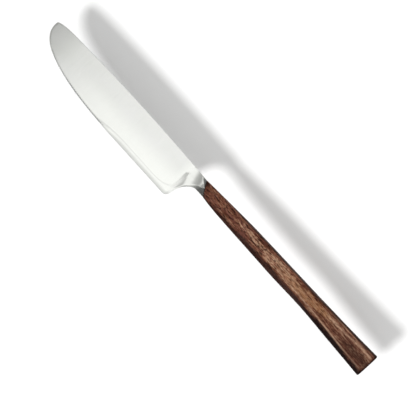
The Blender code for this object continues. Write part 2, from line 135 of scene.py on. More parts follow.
# Tang, cement and bore
TANG_LENGTH = 58.0 * MM
TANG_ROOT_RADIUS = 1.3 * MM
TANG_END_RADIUS = 1.0 * MM
TANG_LEAN_RUN = 3.0 * MM
TANG_END_CHAMFER = 0.4 * MM
NOTCH_PLACES = (22.0 * MM, 32.0 * MM, 42.0 * MM)
NOTCH_WIDTH = 1.6 * MM
NOTCH_DEPTH = 0.22 * MM
CEMENT_RADIUS = 1.72 * MM
CEMENT_RECESS = 0.08 * MM
BORE_RADIUS = 1.8 * MM
TANG_END_ROOM = 1.6 * MM
BORE_END = STEEL_END + TANG_LENGTH + TANG_END_ROOM
FIT_GAP = 0.08 * MM

# Handle
SHOULDER_AT = 12.0 * MM
SWELL_AT = 52.0 * MM
WAIST_AT = 68.0 * MM
HALF_WIDTH_PLACES = (
    0.0,
    SHOULDER_AT / 4,
    SHOULDER_AT,
    (SHOULDER_AT + SWELL_AT) / 2,
    SWELL_AT,
    WAIST_AT,
    (WAIST_AT + HANDLE_LENGTH) / 2,
    HANDLE_LENGTH,
)
SPINE_HALF_WIDTHS = tuple(half * MM for half in (3.35, 3.57, 4.12, 4.96, 5.2, 5.36, 5.72, 6.4))
EDGE_HALF_WIDTHS = tuple(half * MM for half in (3.35, 3.68, 4.15, 4.5, 4.76, 4.57, 5.43, 6.4))
BUTT_HEIGHT = 4.75 * MM
BUTT_SIDE = 2.35 * MM
BUTT_CHAMFER = 0.7 * MM
JOINT_LEAN_RUN = 14.0 * MM

# Where the knife lies: the bottom centre of the whole knife is at the origin
REST_HEIGHT = NECK_HEIGHT + (BUTT_HEIGHT - NECK_HEIGHT) * (1.0 - BUTT_CHAMFER / HANDLE_LENGTH)
AXIS_OFFSET = 4.737 * MM
KNIFE_PLACE = Vector((-BUTT_END / 2, AXIS_OFFSET, REST_HEIGHT))

# Photograph's view: straight down, with the knife turned across the frame
VIEW_TURN = math.radians(47.507)
VIEW_AIM = Vector((4.69 * MM, -0.19 * MM, REST_HEIGHT))
VIEW_WIDTH = 195.03 * MM
LENS = 300.0
SENSOR = 36.0


def ease(value):
    """Smooth step from 0 to 1."""
    value = min(max(value, 0.0), 1.0)
    return value * value * (3.0 - 2.0 * value)


def hump(value):
    """1 at the middle, falling off softly on both sides."""
    return math.exp(-value * value)


def hollow_rise(share, peak, power):
    """Rise from 0 to 1: a hollow sweep that steepens up to the peak, then a rounded top."""
    share = min(max(share, 0.0), 1.0)
    gain = 1.0 / (peak ** (power - 1.0) * (peak + power * (1.0 - peak) / 2.0))
    if share < peak:
        return gain * share ** power
    fall = gain * power * peak ** (power - 1.0) / (2.0 * (1.0 - peak))
    return 1.0 - fall * (1.0 - share) ** 2


def quarter_curve(share, sweep, fullness):
    """Height, 0 to 1, of a quarter superellipse that starts steep and ends level."""
    share = min(max(share, 0.0), 1.0)
    return (1.0 - (1.0 - share) ** sweep) ** (1.0 / fullness)


def soft_min(first, second, rounding):
    """Smaller of two heights, with the crease between them rounded."""
    near = max(rounding - abs(first - second), 0.0) / rounding
    return min(first, second) - near * near * rounding / 4.0


def flowing(places, values, at):
    """Smooth curve through a few named sizes, without overshooting them."""
    spans = [b - a for a, b in zip(places, places[1:])]
    rates = [(b - a) / span for a, b, span in zip(values, values[1:], spans)]
    slopes = [rates[0]]
    for before, after in zip(rates, rates[1:]):
        level = before * after <= 0.0
        slopes.append(0.0 if level else 2.0 * before * after / (before + after))
    slopes.append(rates[-1])
    last = len(spans) - 1
    index = next((i for i in range(last) if at < places[i + 1]), last)
    span = spans[index]
    u = min(max((at - places[index]) / span, 0.0), 1.0)
    start = (1.0 + 2.0 * u) * (1.0 - u) ** 2 * values[index]
    start += u * (1.0 - u) ** 2 * span * slopes[index]
    end = u * u * (3.0 - 2.0 * u) * values[index + 1]
    end += u * u * (u - 1.0) * span * slopes[index + 1]
    return start + end


# Outline of the steel


def spine_line(x):
    """Spine in plan, with the rounded nose at the tip."""
    middle = THROAT_END / 2
    crown = NECK_HALF_WIDTH + SPINE_CROWN * (1.0 - ((x - middle) / middle) ** 2)
    if x >= NOSE_LENGTH:
        return max(crown, NECK_HALF_WIDTH)
    return NOSE_RISE + (crown - NOSE_RISE) * quarter_curve(x / NOSE_LENGTH, NOSE_SWEEP, NOSE_FULLNESS)


def cutting_line(x):
    """Cutting edge in plan, without its serrations, carried on past the heel."""
    belly_drop = NOSE_RISE + EDGE_DROP - EDGE_RAKE
    if x < BELLY_LENGTH:
        return NOSE_RISE - belly_drop * quarter_curve(x / BELLY_LENGTH, BELLY_SWEEP, BELLY_FULLNESS)
    run = BLADE_LENGTH - HEEL_RADIUS - BELLY_LENGTH
    return EDGE_RAKE - EDGE_DROP - EDGE_RAKE * min((x - BELLY_LENGTH) / run, 1.0)


def stretch_of(line, x):
    """Length along a line in plan for each length along the knife."""
    rise = line(x + SERRATION_PROBE) - line(x - SERRATION_PROBE)
    return math.hypot(1.0, rise / (2.0 * SERRATION_PROBE))


def scallop_places():
    """Middle of every scallop of the belly, an even pitch apart along the edge."""
    places = []
    x = SERRATION_START
    while x <= SERRATION_END:
        stretch = stretch_of(cutting_line, x)
        places.append((x, stretch))
        x += SERRATION_PITCH / stretch
    return places


SCALLOPS = scallop_places()


def scallop_depth(x):
    """How far the nearest scallop takes the edge in towards the spine."""
    index = bisect.bisect(SCALLOPS, (x,))
    deepest = 0.0
    for place, stretch in SCALLOPS[max(index - 1, 0):index + 1]:
        off = (x - place) * stretch
        if abs(off) < SERRATION_RADIUS:
            cut = math.sqrt(SERRATION_RADIUS ** 2 - off ** 2) - SERRATION_RADIUS + SERRATION_DEPTH
            deepest = max(deepest, cut * stretch)
    return deepest


def edge_line(x):
    """Lower outline in plan: serrated belly, plain edge, heel, throat and neck."""
    heel_start = BLADE_LENGTH - HEEL_RADIUS
    heel_top = HEEL_RADIUS - EDGE_DROP
    if x <= heel_start:
        return cutting_line(x) + scallop_depth(x)
    if x <= BLADE_LENGTH:
        across = (x - heel_start) / HEEL_RADIUS
        return heel_top - HEEL_RADIUS * math.sqrt(max(1.0 - across * across, 0.0))
    share = (x - BLADE_LENGTH) / THROAT_LENGTH
    rise = -NECK_HALF_WIDTH - heel_top
    return heel_top + rise * quarter_curve(share, THROAT_FULLNESS, THROAT_FULLNESS)


# Half thickness of the steel


def ground_height(x, y):
    """Flat grind, which thins towards the edge and the tip."""
    from_heel = max(BLADE_LENGTH - x, 0.0)
    height = SPINE_HEIGHT - GRIND_TO_TIP * from_heel - GRIND_TO_EDGE * (NECK_HALF_WIDTH - y)
    height -= TIP_TAPER * max(1.0 - x / TIP_TAPER_RUN, 0.0) ** 2
    return max(height, LEAST_HEIGHT)


def bevel_reach(x):
    """Width of the soft bevel, which starts on the belly."""
    return BEVEL_WIDTH * quarter_curve((x - BEVEL_START) / BEVEL_RUN, BEVEL_SWEEP, 1.0)


def ricasso_height(x, y):
    """Level of the forging between the plunge and the neck, crowned towards the throat."""
    flush = ground_height(x, max(y, PLUNGE_TIP))
    return flush + RICASSO_CROWN * ease((PLUNGE_TIP - y) / (PLUNGE_TIP - RICASSO_CROWN_AT))


def plunge_share(x, y):
    """0 on the flat grind, 1 on the bevel, the heel and the neck, which frame it."""
    start = PLUNGE_AT + PLUNGE_TIP_SHIFT * ease(1.0 + (y - PLUNGE_TIP) / PLUNGE_TIP_ROUND)
    along = max(x - start + SWEEP_LENGTH, 0.0) / SWEEP_LENGTH
    down = max(cutting_line(x) + bevel_reach(x) + SWEEP_RISE - y, 0.0) / SWEEP_RISE
    corner = (along ** SWEEP_FULLNESS + down ** SWEEP_FULLNESS) ** (1.0 / SWEEP_FULLNESS)
    if corner <= SWEEP_CLEARANCE:
        return 0.0
    across_heel = (along / corner) ** (SWEEP_FULLNESS - 1.0) / SWEEP_LENGTH
    across_edge = (down / corner) ** (SWEEP_FULLNESS - 1.0) / SWEEP_RISE
    steepness = math.hypot(across_heel, across_edge)
    deep = min(max((PLUNGE_TIP - y) / PLUNGE_DEPTH, 0.0), 1.0)
    reach = PLUNGE_TIP_REACH + (PLUNGE_REACH - PLUNGE_TIP_REACH) * deep
    reach = BEVEL_CREASE + (reach - BEVEL_CREASE) * (across_heel / steepness) ** SWEEP_TURN
    rise = hollow_rise((corner - 1.0) / steepness / reach, PLUNGE_PEAK, PLUNGE_POWER)
    return rise * ease((x - BEVEL_START) / BEVEL_FADE)


def neck_rise(x, y):
    """0 at the ricasso, 1 at the joint: a hollow sweep, and a second short rise to the joint."""
    past_start = x - NECK_RISE_START - NECK_RISE_LEAN * y
    sweep = hollow_rise(past_start / NECK_RISE_RUN, NECK_RISE_PEAK, NECK_RISE_POWER)
    collar = ease((x - STEEL_END + COLLAR_RISE_RUN) / COLLAR_RISE_RUN)
    return NECK_RISE_SHARE * sweep + (1.0 - NECK_RISE_SHARE) * collar


def face_height(x, y):
    """Side face of the steel: the flat grind, framed by the bevel, the heel and the rising neck."""
    ground = ground_height(x, y)
    share = plunge_share(x, y)
    if share <= 0.0:
        return ground
    ricasso = ricasso_height(x, y)
    neck = ricasso + (NECK_HEIGHT - ricasso) * neck_rise(x, y)
    lift = max(x - BAND_LIFT_START, 0.0) ** 2 / (2.0 * BAND_LIFT_RADIUS)
    band = BAND_HEIGHT + BAND_SLOPE * (y - cutting_line(x)) + lift
    raised = max(soft_min(neck, band, FRAME_ROUNDING), ground)
    return ground + (raised - ground) * share


def neck_share(x, start):
    """0 on the blade, 1 where the neck has taken its full facets at the joint."""
    return ease((x - start) / (STEEL_END - start))


def spine_side(x):
    """Height, slope and rounding of the narrow facet along the spine."""
    facet = neck_share(x, SPINE_FACET_START)
    face = face_height(x, spine_line(x))
    wall = face - SPINE_SLOPE * min(SPINE_CHAMFER, face / 2)
    wall += (NECK_SIDE - wall) * facet
    slope = SPINE_SLOPE + (FACET_SLOPE - SPINE_SLOPE) * facet
    nose = 1.0 - ease(x / NOSE_JOIN)
    wall += (face * BLUNT_SHARE - wall) * nose
    slope += (HONE_SLOPE - slope) * nose
    return wall, slope, CREASE_ROUNDING


def edge_side(x):
    """Height, slope and rounding of the honed edge, and past the heel of the neck's lower facet."""
    facet = neck_share(x, EDGE_FACET_START)
    edge = edge_line(x)
    up_heel = ease((edge + EDGE_DROP) / HEEL_RADIUS) if x > BELLY_LENGTH else 0.0
    face = face_height(x, edge)
    blunt = max(up_heel, 1.0 - ease(x / NOSE_BLUNT_LENGTH))
    throat = hump((x - BLADE_LENGTH - THROAT_RIM_RUN) / THROAT_RIM_RUN)
    slope = HONE_SLOPE + (THROAT_SLOPE - HONE_SLOPE) * throat
    slope += (FACET_SLOPE - slope) * facet
    wall = LIP_HEIGHT + (face * (BLUNT_SHARE - THROAT_RIM * throat) - LIP_HEIGHT) * blunt
    cut = min(scallop_depth(x) / SERRATION_DEPTH, 1.0)
    past_teeth = max(SCALLOPS[0][0] - x, x - SCALLOPS[-1][0]) / SERRATION_PITCH - 0.5
    toothed = 1.0 - ease(past_teeth / TEETH_FADE)
    tooth = face * TOOTH_SHARE
    wall += (tooth + (LIP_HEIGHT - tooth) * cut - wall) * toothed
    slope += (SERRATION_SLOPE - slope) * cut
    wall += (NECK_SIDE - wall) * facet
    rolled = ease((x - BEVEL_START) / BEVEL_FADE) * (1.0 - up_heel)
    return wall, slope, CREASE_ROUNDING + (EDGE_ROLL - CREASE_ROUNDING) * rolled


class SteelOutline:
    """Outline of the steel, to find how far a point is from it and how the steel thins there."""

    STEP = 0.06 * MM

    def __init__(self):
        self.sides = []
        points = []
        count = int((STEEL_END + 2.0 * NECK_HALF_WIDTH) / self.STEP)
        for line, side in ((spine_line, spine_side), (edge_line, edge_side)):
            before = Vector((0.0, NOSE_RISE, 0.0))
            for step in range(1, count + 1):
                x = step * self.STEP
                after = Vector((x, line(x), 0.0))
                parts = max(int((after - before).length / self.STEP), 1)
                for part in range(1, parts + 1):
                    points.append(before.lerp(after, part / parts))
                    self.sides.append(side(x))
                before = after
        self.tree = KDTree(len(points))
        for index, point in enumerate(points):
            self.tree.insert(point, index)
        self.tree.balance()

    def nearest(self, x, y):
        """Distance from the outline, and the height, slope and rounding of the nearest side."""
        point = Vector((x, y, 0.0))
        (first, index, distance), (second, other, _) = self.tree.find_n(point, 2)
        run = second - first
        if not 0.0 < run.length < 2.0 * self.STEP:
            return distance, self.sides[index]
        share = min(max((point - first).dot(run) / run.length_squared, 0.0), 1.0)
        side = [near + (far - near) * share for near, far in zip(self.sides[index], self.sides[other])]
        return (point - first.lerp(second, share)).length, side

    def height(self, x, y):
        """Half thickness of the steel at a point inside the outline."""
        distance, (wall, slope, rounding) = self.nearest(x, y)
        height = soft_min(face_height(x, y), wall + slope * distance, rounding)
        inside = min(distance / EDGE_ROUNDING, 1.0)
        return height * math.sqrt(max(1.0 - (1.0 - inside) ** 2, 0.0))

    def facet_share(self, point):
        """1 on the side facets of the neck, 0 on its top and on the blade."""
        distance, (wall, slope, _) = self.nearest(point.x, point.y)
        under_face = face_height(point.x, point.y) - wall - slope * distance
        return ease(under_face / FRAME_ROUNDING) * ease((point.x - BLADE_LENGTH) / THROAT_LENGTH)


# Sections and skins

SPINE_STEPS = 9
FACE_STEPS = 42
EDGE_STEPS = 11
SIDE_CROWDING = 0.8
FACE_CROWDING = 0.4
SIDE_SHARE = 0.97
RIM_SHARE = 0.2
MEETING_ROUNDS = 12
TIP_ROWS = 60
TIP_FIRST_ROW = 4
TIP_CROWDING = 2.2
BELLY_ROWS = 370
STRAIGHT_ROWS = 150
HEEL_ROWS = 32
THROAT_ROWS = 54
THROAT_CROWDING = 1.6
NECK_ROWS = 22
SHARP_ANGLE = math.radians(32.0)


def crowded(start, end, steps, crowding):
    """Places from start to end, closer together at both ends."""
    places = []
    for step in range(1, steps + 1):
        share = step / steps
        bunched = (1.0 - math.cos(math.pi * share)) / 2.0
        places.append(start + (end - start) * (share + (bunched - share) * crowding))
    return places


def meeting(line, at, lean):
    """Place across where a leaning section meets the outline."""
    y = line(at)
    for _ in range(MEETING_ROUNDS):
        y = line(at + lean * y)
    return y


def steel_ring(outline, at, lean):
    """Section of the blade or the neck. Lean shifts a point along in step with its place across."""
    spine = meeting(spine_line, at, lean)
    edge = meeting(edge_line, at, lean)
    room = (spine - edge) / 2
    facet = neck_share(at, SPINE_FACET_START)
    spine_reach = SPINE_CHAMFER + (NECK_HALF_WIDTH - SPINE_CHAMFER) * facet
    spine_reach = min(spine_reach, room * SIDE_SHARE)
    facet = neck_share(at, EDGE_FACET_START)
    edge_reach = BEVEL_WIDTH + (NECK_HALF_WIDTH - BEVEL_WIDTH) * facet
    edge_reach = min(edge_reach, room * SIDE_SHARE)
    rim = min(EDGE_ROUNDING, room * RIM_SHARE)
    crossings = [spine, spine - rim / 2, spine - rim]
    crossings += crowded(spine - rim, spine - spine_reach, SPINE_STEPS, SIDE_CROWDING)
    crossings += crowded(spine - spine_reach, edge + edge_reach, FACE_STEPS, FACE_CROWDING)
    crossings += crowded(edge + edge_reach, edge + rim, EDGE_STEPS, SIDE_CROWDING)
    crossings += [edge + rim / 2, edge]
    top = []
    for y in crossings:
        x = at + lean * y
        top.append(Vector((x, y, outline.height(x, y))))
    top[0].z = 0.0
    top[-1].z = 0.0
    return top + [Vector((p.x, p.y, -p.z)) for p in reversed(top[1:-1])]


def round_ring(at, lean, radius, count):
    """Round section, on a plane that leans with the joint."""
    ring = []
    for step in range(count):
        turn = 2.0 * math.pi * step / count
        y = radius * math.cos(turn)
        ring.append(Vector((at + lean * y, y, radius * math.sin(turn))))
    return ring


def rows_between(start, end, rows, crowding=1.0):
    """Places after the start, up to the end: even, or with crowding closer together at the start."""
    return [start + (end - start) * (row / rows) ** crowding for row in range(1, rows + 1)]


def steel_stations():
    """Places of the sections along the blade, close together where the shape is fine."""
    belly_end = SERRATION_END + SERRATION_PITCH
    heel_start = BLADE_LENGTH - HEEL_RADIUS
    places = rows_between(0.0, SERRATION_START, TIP_ROWS, TIP_CROWDING)[TIP_FIRST_ROW - 1:]
    places += rows_between(SERRATION_START, belly_end, BELLY_ROWS)
    places += rows_between(belly_end, heel_start, STRAIGHT_ROWS)
    for row in range(1, HEEL_ROWS + 1):
        places.append(heel_start + HEEL_RADIUS * math.sin(math.pi / 2 * row / HEEL_ROWS))
    places += rows_between(BLADE_LENGTH, THROAT_END, THROAT_ROWS, THROAT_CROWDING)
    return places + rows_between(THROAT_END, STEEL_END, NECK_ROWS)


def skin(rings):
    """Tube blank with as many rows as sections, every row then drawn out to its section."""
    count = len(rings[0])
    rows = len(rings) - 1
    bm = bmesh.new()
    bmesh.ops.create_cone(bm, cap_ends=True, segments=count, radius1=1.0, radius2=1.0, depth=1.0)
    sides = [e for e in bm.edges if abs(e.verts[0].co.z - e.verts[1].co.z) > 0.5]
    bmesh.ops.subdivide_edges(bm, edges=sides, cuts=rows - 1, use_grid_fill=True)
    for vert in bm.verts:
        turn = math.atan2(vert.co.x, vert.co.y) / (2.0 * math.pi)
        vert.co = rings[round((vert.co.z + 0.5) * rows)][round(turn * count) % count]
    bmesh.ops.recalc_face_normals(bm, faces=bm.faces[:])
    if bm.calc_volume(signed=True) < 0.0:
        bmesh.ops.reverse_faces(bm, faces=bm.faces[:])
    return bm


def tone(bm, name, shade):
    """Write a value for every point of a piece, worked out from its place on the knife."""
    layer = bm.verts.layers.float.new(name)
    for vert in bm.verts:
        vert[layer] = shade(vert.co)


def finished_piece(name, bm, material, node):
    """Lay a piece in its place, smooth it, and let it stand for its CAD node."""
    bmesh.ops.translate(bm, verts=bm.verts[:], vec=KNIFE_PLACE)
    mesh = bpy.data.meshes.new(name)
    bm.to_mesh(mesh)
    bm.free()
    mesh.shade_smooth()
    mesh.set_sharp_from_angle(angle=SHARP_ANGLE)
    mesh.materials.append(material)
    piece = bpy.data.objects.new(name, mesh)
    bpy.context.scene.collection.objects.link(piece)
    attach(piece, "root")
    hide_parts(node)
    return piece


# Pieces


def tang_stations():
    """Place, lean and radius along the notched tang, from its root to its end."""
    cuts = [(TANG_LEAN_RUN, 0.0)]
    for place in NOTCH_PLACES:
        for share, depth in ((-0.5, 0.0), (-0.25, NOTCH_DEPTH), (0.25, NOTCH_DEPTH), (0.5, 0.0)):
            cuts.append((place + share * NOTCH_WIDTH, depth))
    cuts += [(TANG_LENGTH - TANG_END_CHAMFER, 0.0), (TANG_LENGTH, TANG_END_CHAMFER)]
    stations = [(0.0, JOINT_LEAN, TANG_ROOT_RADIUS)]
    for along, depth in cuts:
        radius = TANG_ROOT_RADIUS + (TANG_END_RADIUS - TANG_ROOT_RADIUS) * along / TANG_LENGTH
        stations.append((along, 0.0, radius - depth))
    return stations


# Painted shade along the edge: dark in the scallops of the belly, fainter along the rolled plain edge
SCALLOP_SHADE_DEPTH = 0.12 * MM
SCALLOP_SHADE_REACH = 0.52 * MM
TOOTH_SHADE = 0.35
TIP_SHADE = 0.7
BELLY_SHADE = 1.5
BELLY_SHADE_START = 16.0 * MM
BELLY_SHADE_RUN = 12.0 * MM
LAST_SHADE_RUN = 4.0 * SERRATION_PITCH
LAST_SHADE = SERRATION_END - 0.8 * LAST_SHADE_RUN
ROLL_SHADE = 0.36
ROLL_SHADE_START_WIDTH = 0.9 * MM
ROLL_SHADE_WIDTH = 2.4 * MM
ROLL_SHADE_END = 1.0 * MM


def scallop_shade(x, inside):
    """Painted shade in the scallops at a distance inside the cutting line."""
    cut = min(scallop_depth(x) / SERRATION_DEPTH, 1.0)
    level = TIP_SHADE + (BELLY_SHADE - TIP_SHADE) * ease((x - BELLY_SHADE_START) / BELLY_SHADE_RUN)
    level *= TOOTH_SHADE + (1.0 - TOOTH_SHADE) * cut * cut
    level *= hump((inside - SCALLOP_SHADE_DEPTH) / SCALLOP_SHADE_REACH)
    return level * (1.0 - ease((x - LAST_SHADE) / LAST_SHADE_RUN))


def roll_shade(x, inside):
    """Painted shade on the rolled plain edge at a distance inside its line."""
    widening = ease((x - SERRATION_END) / BEVEL_FADE)
    width = ROLL_SHADE_START_WIDTH + (ROLL_SHADE_WIDTH - ROLL_SHADE_START_WIDTH) * widening
    level = ROLL_SHADE * ease(1.0 - inside / width) * ease((x - BEVEL_START) / BEVEL_FADE)
    return level * ease((BLADE_LENGTH - x) / ROLL_SHADE_END)


def edge_grime(point):
    """Painted shade along the edge: in the scallops of the belly, and fainter along the plain edge."""
    if not SERRATION_START - SERRATION_PITCH < point.x < BLADE_LENGTH:
        return 0.0
    line = edge_line if point.x > BLADE_LENGTH - HEEL_RADIUS else cutting_line
    inside = (point.y - line(point.x)) / stretch_of(line, point.x)
    return max(scallop_shade(point.x, inside), roll_shade(point.x, inside))


def crease_grime(point):
    """Painted shade in the crease between the flat grind and the bevel."""
    share = plunge_share(point.x, point.y)
    past_plunge = ease((point.x - PLUNGE_AT + SWEEP_LENGTH / 2) / (SWEEP_LENGTH / 2))
    return 4.0 * share * (1.0 - share) * (1.0 - past_plunge)


def build_blade_steel():
    """Blade, neck, bolster and tang in one."""
    outline = SteelOutline()
    rings = []
    for at in steel_stations():
        share = max((at - NECK_LEAN_START) / (STEEL_END - NECK_LEAN_START), 0.0)
        rings.append(steel_ring(outline, at, JOINT_LEAN * share))
    count = len(rings[0])
    for along, lean, radius in tang_stations():
        rings.append(round_ring(STEEL_END + along, lean, radius, count))
    bm = skin(rings)
    # Painted shade along the edge
    tone(bm, "edge_grime", edge_grime)
    # Painted shade in the crease
    tone(bm, "crease_grime", crease_grime)
    tone(bm, "neck_facet", outline.facet_share)
    return finished_piece("blade_steel", bm, satin_steel(), "blade")


def joint_ring(at, recess, count):
    """Four-sided section of the joint, drawn in a little so that it shows as a fine line."""
    half = NECK_HALF_WIDTH - recess
    top = []
    for step in range(count // 2):
        y = half * math.cos(math.pi * step / (count // 2 - 1))
        z = NECK_SIDE - recess / 2 + FACET_SLOPE * (half - abs(y))
        top.append(Vector((at + JOINT_LEAN * y, y, z)))
    return top + [Vector((p.x, p.y, -p.z)) for p in reversed(top)]


CEMENT_SEGMENTS = 64


def build_cement_line():
    """Cement: a sleeve round the tang and the thin dark line at the joint."""
    count = CEMENT_SEGMENTS
    rings = []
    for along, lean, radius in reversed(tang_stations()):
        at = STEEL_END + along
        if not rings:
            at += FIT_GAP
        rings.append(round_ring(at, lean, radius + FIT_GAP, count))
    rings[-1] = round_ring(CEMENT_FRONT, JOINT_LEAN, TANG_ROOT_RADIUS + FIT_GAP, count)
    rings.append(joint_ring(CEMENT_FRONT, CEMENT_RECESS, count))
    rings.append(joint_ring(CEMENT_BACK, CEMENT_RECESS, count))
    rings.append(round_ring(CEMENT_BACK, JOINT_LEAN, CEMENT_RADIUS, count))
    rings.append(round_ring(CEMENT_BACK + TANG_LEAN_RUN, 0.0, CEMENT_RADIUS, count))
    rings.append(round_ring(BORE_END - FIT_GAP, 0.0, CEMENT_RADIUS, count))
    return finished_piece("cement_line", skin(rings), dull_cement_with_painted_shade(), "tang_cement")


def handle_half_widths(along):
    """Reach of the handle towards the spine side and towards the edge side."""
    spine = flowing(HALF_WIDTH_PLACES, SPINE_HALF_WIDTHS, along)
    edge = flowing(HALF_WIDTH_PLACES, EDGE_HALF_WIDTHS, along)
    return spine, edge


FLAT_PLACES = tuple(place * MM for place in (0.0, 30.0, 66.0, 84.0, 95.0, 104.0, 110.9))
SPINE_FLATS = tuple(half * MM for half in (0.15, 0.8, 1.7, 2.2, 2.6, 3.4, 3.2))
EDGE_FLATS = tuple(half * MM for half in (0.15, 0.7, 1.3, 2.2, 3.0, 3.4, 3.8))
ROUNDING_PLACES = tuple(place * MM for place in (0.0, 25.0, 60.0, 85.0, 110.9))
RIDGE_ROUNDINGS = tuple(reach * MM for reach in (0.5, 1.2, 1.7, 0.8, 0.6))


def handle_flats(along):
    """Reach of the top facet towards the spine side and towards the edge side."""
    return flowing(FLAT_PLACES, SPINE_FLATS, along), flowing(FLAT_PLACES, EDGE_FLATS, along)


def handle_corners(along, inset):
    """Eight corners of the handle's section, drawn in by the inset."""
    spine, edge = handle_half_widths(along)
    share = along / HANDLE_LENGTH
    top = NECK_HEIGHT + (BUTT_HEIGHT - NECK_HEIGHT) * share - inset
    side = NECK_SIDE + (BUTT_SIDE - NECK_SIDE) * share
    spine_flat, edge_flat = handle_flats(along)
    over = [(spine - inset, side), (spine_flat, top), (-edge_flat, top), (inset - edge, side)]
    corners = [Vector(corner) for corner in over]
    return corners + [Vector((y, -z)) for y, z in reversed(over)]


CORNER_STEPS = 7
FACET_STEPS = 4
ROUNDING_LIMIT = 0.4
HANDLE_ROWS = 190
BUTT_ROWS = 4
UNEVENNESS = 0.04 * MM
UNEVEN_ALONG = 90.0
UNEVEN_ACROSS = 260.0
UNEVEN_SHIFT = 7.0
EVEN_FRONT = 10.0 * MM
EVEN_BUTT = 2.0 * MM
EVEN_BUTT_RUN = 1.6 * MM
NICK_AT = 205.8 * MM
NICK_ACROSS = 5.6 * MM
NICK_REACH = 0.9 * MM
NICK_DEPTH = 0.4 * MM


def handle_ring(along, inset):
    """Section of the handle with its ridges rounded, and slightly uneven as hand-worked wood is."""
    corners = handle_corners(along, inset)
    reach = flowing(ROUNDING_PLACES, RIDGE_ROUNDINGS, along)
    points = []
    for index, corner in enumerate(corners):
        following = corners[(index + 1) % len(corners)]
        before = corners[index - 1] - corner
        after = following - corner
        start = corner + before.normalized() * min(reach, before.length * ROUNDING_LIMIT)
        along_facet = after.normalized() * min(reach, after.length * ROUNDING_LIMIT)
        end = corner + along_facet
        for step in range(CORNER_STEPS):
            u = step / (CORNER_STEPS - 1)
            points.append(start * (1.0 - u) ** 2 + corner * 2.0 * u * (1.0 - u) + end * u * u)
        next_start = following - along_facet
        for step in range(1, FACET_STEPS + 1):
            points.append(end.lerp(next_start, step / (FACET_STEPS + 1)))
    lean = JOINT_LEAN * (1.0 - ease(along / JOINT_LEAN_RUN))
    return [worked(Vector((WOOD_FRONT + along + lean * p.x, p.x, p.y)), along) for p in points]


def worked(point, along):
    """Move a point of the handle in by the slight unevenness of hand work, and by the nick."""
    free = ease(along / EVEN_FRONT) * (1.0 - ease((along - HANDLE_LENGTH + EVEN_BUTT) / EVEN_BUTT_RUN))
    across = point.z * UNEVEN_ACROSS + UNEVEN_SHIFT
    wave = noise.noise(Vector((point.x * UNEVEN_ALONG, point.y * UNEVEN_ACROSS, across)))
    depth = UNEVENNESS * (1.0 + wave) * free
    if point.z > 0.0:
        nick = hump((point.x - NICK_AT) / NICK_REACH) * hump((point.y - NICK_ACROSS) / NICK_REACH)
        depth += NICK_DEPTH * nick
    return point - Vector((0.0, point.y, point.z)).normalized() * depth


def build_handle_wood():
    """One piece of wood with eight facets and a blind bore for the tang."""
    body = HANDLE_LENGTH - BUTT_CHAMFER
    outside = [handle_ring(body * row / HANDLE_ROWS, 0.0) for row in range(HANDLE_ROWS + 1)]
    for row in range(1, BUTT_ROWS + 1):
        turn = math.pi / 2 * row / BUTT_ROWS
        along = body + BUTT_CHAMFER * math.sin(turn)
        outside.append(handle_ring(along, BUTT_CHAMFER * (1.0 - math.cos(turn))))
    turns = [math.atan2(p.z, p.y) for p in outside[0]]
    bore = []
    for at, lean in ((BORE_END, 0.0), (WOOD_FRONT + TANG_LEAN_RUN, 0.0), (WOOD_FRONT, JOINT_LEAN)):
        ring = []
        for turn in turns:
            y = BORE_RADIUS * math.cos(turn)
            ring.append(Vector((at + lean * y, y, BORE_RADIUS * math.sin(turn))))
        bore.append(ring)
    bm = skin(bore + outside)
    # Dark wood with painted shade on the sides, painted sheen on the spine's rim, painted shade and shadow
    # at the butt and joint, ridges rubbed pale with painted highlights
    for shade in (edge_stain, spine_stain, spine_rim, end_stain, pale_top, rubbed_ridges):
        tone(bm, shade.__name__, shade)
    return finished_piece("handle_wood", bm, oiled_hardwood(), "handle")


# Where the dark wood and its painted side shade begin, on the edge side and on the spine side
STAIN_AND_SHADE_PLACES = tuple(place * MM for place in (0.0, 8.0, 26.0, 37.0, 54.0, 72.0, 82.0, 96.0, 106.0, 110.9))
EDGE_STAIN_AND_SHADE_LINES = tuple(y * MM for y in (2.3, 2.4, 2.2, 2.2, 2.6, 2.7, 2.45, 3.1, 3.8, 3.9))
SPINE_STAIN_AND_SHADE_LINES = tuple(y * MM for y in (3.4, 3.5, 3.7, 4.0, 4.25, 4.35, 4.4, 4.6, 4.7, 4.7))
# Width of the spine side's rim with its painted grey sheen
SPINE_RIM_SHEEN_WIDTH = 0.95 * MM
PALE_PLACES = tuple(place * MM for place in (18.0, 30.0, 40.0, 55.0, 66.0, 80.0, 90.0))
PALE_MIDDLES = tuple(y * MM for y in (1.5, 1.2, 0.8, 0.4, 0.4, 1.4, 1.8))
PALE_REACHES = tuple(y * MM for y in (-0.6, 1.2, 1.8, 2.4, 2.2, 1.2, -0.6))
# Dark wood with painted shade in the middle towards the butt, and painted shade round the butt's end
MIDDLE_STAIN_AND_SHADE = 0.72
MIDDLE_STAIN_AND_SHADE_START = 80.0 * MM
MIDDLE_STAIN_AND_SHADE_RUN = 24.0 * MM
MIDDLE_STAIN_AND_SHADE_ACROSS = -0.4 * MM
MIDDLE_STAIN_AND_SHADE_REACH = 3.0 * MM
END_SHADE_REACH = 1.1 * MM
END_SHADE_RUN = 0.6 * MM
END_FACE_REACH = 0.2 * MM
END_FACE_SHADE = 0.5
# Painted shadow at the joint's spine corner
CORNER_SHADOW = 0.95
CORNER_SHADOW_LENGTH = 1.6 * MM
CORNER_SHADOW_ACROSS = 2.2 * MM
CORNER_SHADOW_REACH = 1.1 * MM


def along_handle(point):
    """Distance from the handle's front end."""
    return min(max(point.x - WOOD_FRONT, 0.0), HANDLE_LENGTH)


